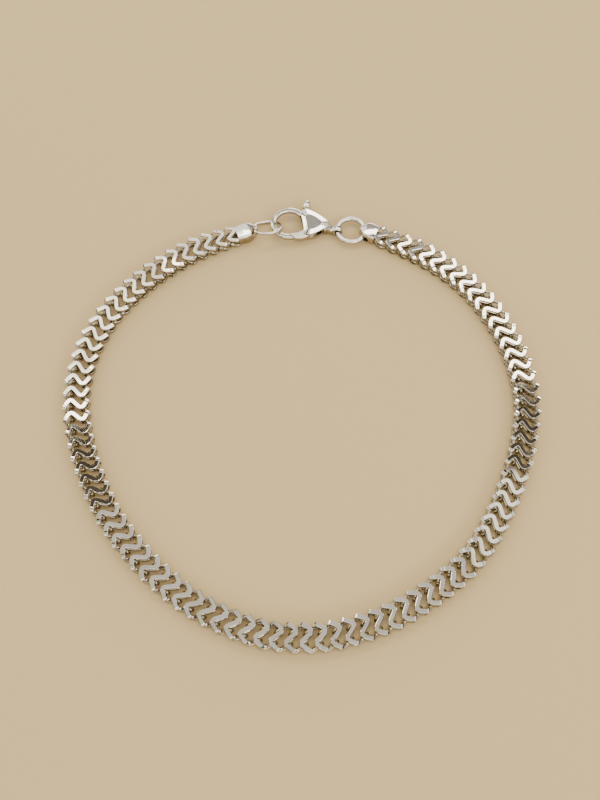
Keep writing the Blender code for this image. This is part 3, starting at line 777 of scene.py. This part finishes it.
def clasp_body(material):
    """Make the clasp's body, hook, pin, neck and eye as one casting."""
    outline = smooth_loop([list(point) for point in BODY_OUTLINE], 6, 2)
    rings = []
    for (middle_x, middle_y), sections in ((BODY_MIDDLE, BODY_SECTIONS),
                                           (TABLE_MIDDLE, TABLE_SECTIONS)):
        for z, share in sections:
            rings.append([Vector((middle_x + share * (x - middle_x),
                                  middle_y + share * (y - middle_y), z)) * MM
                          for x, y in outline])
    bm = bmesh.new()
    loft(bm, rings)
    body = finished("clasp_casting", bm, material)
    slot = prism("clasp_slot", SLOT_OUTLINE, SLOT_BASE, SLOT_TOP, 0.0, material)
    pin = rod("clasp_pin", Vector((*PIVOT, SLOT_BASE - PIN_SINK)) * MM,
              Vector((*PIVOT, SLOT_TOP + PIN_SINK)) * MM, PIN_RADIUS * MM, 32, material)
    neck_outline = smooth_loop([list(point) for point in NECK_OUTLINE], 4, 2)
    neck = prism("clasp_neck", neck_outline, NECK_BASE, NECK_TOP, NECK_CUT, material)
    across = Vector((0.0, EYE_WIDTH, 0.0)) * MM
    centre = Vector(EYE) * MM
    eye = clasp_eye(centre, material)
    drill = rod("eye_drill", centre - across, centre + across, EYE_BORE * MM, 48, material)
    casting = combine("clasp_body", body,
                      [(slot, "DIFFERENCE"), (pin, "UNION"), (clasp_hook(material), "UNION"),
                       (neck, "UNION"), (eye, "UNION"), (drill, "DIFFERENCE")], material)
    crisp_rims(casting.data, HOOK_TOP * MM, math.radians(3.0))
    return casting


def clasp_eye(centre, material):
    """Make the rounded drum that the eye is bored through."""
    rings = []
    for y, radius in EYE_PROFILE:
        rings.append([centre + Vector((radius * math.cos(a), y, radius * math.sin(a))) * MM
                      for a in (2.0 * math.pi * i / 48 for i in range(48))])
    bm = bmesh.new()
    loft(bm, rings)
    return finished("clasp_eye", bm, material)


def clasp_lever(material):
    """Make the lever: closing arm, hub, tab and knob, bored for its pin."""
    hub = rod("lever_hub", Vector((*PIVOT, LEVER_BASE)) * MM, Vector((*PIVOT, LEVER_TOP)) * MM,
              HUB_RADIUS * MM, 64, material)
    meeting = []
    for radius, end in ((HOOK_INNER, HOOK_END_INNER), (HOOK_OUTER, HOOK_END_OUTER)):
        angle = math.radians(end) + LEVER_PARTING / radius
        meeting.append((radius * math.cos(angle), radius * math.sin(angle)))
    arm = prism("lever_arm", meeting + ARM_OUTLINE, LEVER_BASE, LEVER_TOP, 0.05, material)
    tab = prism("lever_tab", TAB_OUTLINE, LEVER_BASE, LEVER_TOP, 0.04, material)
    height = (LEVER_BASE + LEVER_TOP) / 2.0
    rings = []
    for far, share in KNOB_SECTIONS:
        rings.append([Vector((KNOB_X + share * KNOB_RADIUS * math.cos(a), far,
                              height + share * KNOB_RADIUS * math.sin(a))) * MM
                      for a in (2.0 * math.pi * i / 40 for i in range(40))])
    bm = bmesh.new()
    loft(bm, rings)
    knob = finished("lever_knob", bm, material)
    bore = rod("lever_bore", Vector((*PIVOT, LEVER_BASE - 1.0)) * MM,
               Vector((*PIVOT, LEVER_TOP + 1.0)) * MM, LEVER_BORE * MM, 32, material)
    return combine("clasp_lever", hub, [(arm, "UNION"), (tab, "UNION"), (knob, "UNION"),
                                        (bore, "DIFFERENCE")], material)


# Studio

def soft_light(name, place, size, glow, colour, turn):
    """Make one soft box of even glow that faces down, turned, or faces the bracelet."""
    data = bpy.data.lights.new(name, "AREA")
    data.shape = "RECTANGLE"
    data.size = size[0]
    data.size_y = size[1]
    data.energy = glow * math.pi * size[0] * size[1]
    data.color = colour
    light = bpy.data.objects.new(name, data)
    light.location = place
    if turn is None:
        light.rotation_euler = (-Vector(place)).to_track_quat("-Z", "Y").to_euler()
    else:
        light.rotation_euler = (0.0, 0.0, math.radians(turn))
    bpy.context.collection.objects.link(light)


def floor():
    """Make the plain pale floor."""
    bm = bmesh.new()
    bmesh.ops.create_grid(bm, x_segments=1, y_segments=1, size=FLOOR_REACH)
    material = bpy.data.materials.new("pale_floor")
    material.use_nodes = True
    shader = material.node_tree.nodes["Principled BSDF"]
    shader.inputs["Base Color"].default_value = (0.69, 0.520, 0.268, 1.0)
    shader.inputs["Roughness"].default_value = 0.9
    mesh = bpy.data.meshes.new("floor")
    bm.to_mesh(mesh)
    bm.free()
    mesh.materials.append(material)
    piece = bpy.data.objects.new("floor", mesh)
    bpy.context.collection.objects.link(piece)
    return piece


def camera():
    """Place the camera at the photograph's angle."""
    data = bpy.data.cameras.new("camera")
    data.sensor_width = CAMERA_SENSOR
    data.lens = CAMERA_LENS
    data.clip_start = 0.001
    data.clip_end = 10.0
    view = bpy.data.objects.new("camera", data)
    elevation = math.radians(CAMERA_ELEVATION)
    view.location = LOOP_MIDDLE + CAMERA_DISTANCE * Vector((0.0, -math.cos(elevation),
                                                            math.sin(elevation)))
    view.rotation_euler = Euler((math.radians(90.0) - elevation, 0.0, 0.0))
    bpy.context.collection.objects.link(view)
    bpy.context.scene.camera = view


def studio():
    """Light the stage softly."""
    world = bpy.data.worlds.new("studio")
    world.use_nodes = True
    backdrop = world.node_tree.nodes["Background"]
    backdrop.inputs["Color"].default_value = (1.0, 0.82, 0.60, 1.0)
    backdrop.inputs["Strength"].default_value = 0.07
    bpy.context.scene.world = world
    for row in SOFT_BOXES:
        soft_light(*row)


def main():
    """Dress the bracelet, stand it on its stage and light it."""
    surface = polished_surface()
    finishes = {name: silver(name, surface, bright, roughness)
                for name, (bright, roughness) in FINISHES.items()}

    line, lengths = route_line()
    total = lengths[-1]
    link = link_piece(finishes["chain_silver"])
    tree = link_tree()
    half = LINKS // 2
    spans = [("chain_left", "left_route", 0.0, total / 2.0, END_TAPER, 1.0, 3),
             ("chain_right", "right_route", total / 2.0, total, 1.0, END_TAPER, 8)]
    for node, route_name, start, end, first_end, last_end, seed in spans:
        route = route_object(route_name, line, lengths, start, end)
        links = grow(node.replace("chain", "links"), tree, route, {
            "Link": link, "Links": half, "First end": first_end, "Last end": last_end,
            "Taper links": float(TAPER_LINKS), "Sway": math.radians(SWAY),
            "Jitter": math.radians(JITTER), "Seed": seed, "Finish": finishes["chain_silver"]})
        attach(links, "bracelet")
        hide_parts(node)
    bpy.data.objects.remove(link)

    rings = ring_tree()
    turns = {}
    for name, (middle, radius, wire, tilt, turn), seam in (
            ("jump_ring_left", LEFT_RING, LEFT_SEAM),
            ("jump_ring_right", RIGHT_RING, RIGHT_SEAM)):
        rotation = (Matrix.Rotation(math.radians(turn), 3, "Z")
                    @ Matrix.Rotation(math.radians(-tilt), 3, "X"))
        turns[name] = rotation
        piece = grow(name.replace("jump_", "wire_"), rings, empty_source(name + "_source"), {
            "Radius": radius * MM, "Wire": wire * MM, "Seam": seam,
            "Turn": rotation.to_euler(), "Middle": middle, "Finish": finishes["ring_silver"]})
        mark_painted_shade(piece, 0.85)
        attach(piece, "bracelet")
        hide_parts(name)

    caps = (("left_cap", 0.0, -1.0, LEFT_SEAT, LEFT_NOSE, LEFT_RING, "jump_ring_left",
             "chain_left"),
            ("right_cap", total, 1.0, RIGHT_SEAT, RIGHT_NOSE, RIGHT_RING, "jump_ring_right",
             "chain_right"))
    for name, distance, sense, seat, nose, ring, ring_name, node in caps:
        near = place_at(line, lengths, distance)
        step = 0.25 * MM
        other = place_at(line, lengths, distance - sense * step)
        along = (near - other).normalized() * sense
        matrix = Matrix((along, Vector((along.y, -along.x, 0.0)),
                         Vector((0.0, 0.0, 1.0)))).transposed().to_4x4()
        matrix.translation = near
        cap = end_cap(name, matrix, sense, seat, nose, ring[2], turns[ring_name],
                      ring[0].z / MM, finishes["cap_silver"])
        mark_painted_shade(cap, 0.75)
        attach(cap, "bracelet")
        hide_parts(node)

    body = settle(clasp_body(finishes["clasp_silver"]), Matrix.Translation(CLASP_MIDDLE))
    mark_painted_shade(body, 0.9)
    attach(body, "bracelet")
    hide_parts("clasp_body")
    lever = settle(clasp_lever(finishes["lever_silver"]), Matrix.Translation(CLASP_MIDDLE))
    mark_painted_shade(lever, 0.7)
    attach(lever, "lever")
    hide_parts("clasp_lever")

    floor()
    studio()
    camera()


main()
